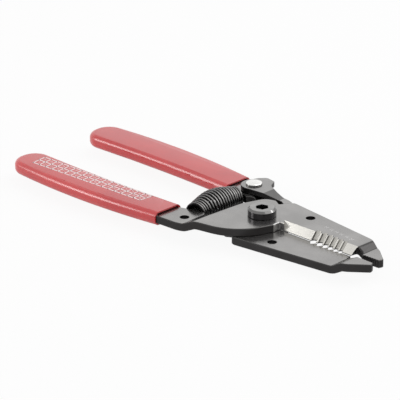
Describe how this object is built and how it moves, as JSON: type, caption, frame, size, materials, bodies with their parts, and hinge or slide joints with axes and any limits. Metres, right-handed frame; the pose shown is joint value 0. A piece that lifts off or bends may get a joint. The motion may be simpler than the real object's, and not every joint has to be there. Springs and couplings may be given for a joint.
{
  "type": "wire stripper",
  "caption": "Hand wire stripper with crossed stamped levers, graded stripping holes, gripping nose, return spring, flick-over lock latch and sleeved handles.",
  "frame": {"origin": "where the pivot axis meets the lower face of the pivot nut, on which the tool lies", "axes": "+X from the pivot to the nose tips; +Z along the pivot screw, out of its head; +Y to the side of the jaw that the upper lever carries"},
  "size_m": [0.1688, 0.0586, 0.0128],
  "materials": {
    "black_steel": "black oxide, satin",
    "screw_steel": "black oxide",
    "spring_steel": "blackened wire",
    "bright_steel": "bright turned",
    "red_vinyl": "soft gloss"
  },
  "bodies": {
    "lower_half": {"lower_lever": "black_steel", "lower_grip": "red_vinyl", "pivot_screw": "screw_steel", "pivot_nut": "screw_steel", "latch_rivet": "bright_steel", "latch_washer": "bright_steel", "return_spring": "spring_steel"},
    "upper_half": {"upper_lever": "black_steel", "upper_grip": "red_vinyl"},
    "latch": {"lock_latch": "black_steel"}
  },
  "joints": [
    {"name": "jaw_pivot", "type": "hinge", "parent": "lower_half", "child": "upper_half", "pos_m": [0, 0, 0.00622], "axis": [0, 0, 1], "range_deg": [-2.5, 18], "deforming": ["return_spring"]},
    {"name": "latch_hinge", "type": "hinge", "parent": "lower_half", "child": "latch", "pos_m": [-0.0221, 0.01903, 0.00907], "axis": [0, 0, 1], "range_deg": [-3.1, 22]}
  ],
  "couplings": [
    {"joint": "latch_hinge", "follows": "jaw_pivot", "ratio": 1.2}
  ]
}
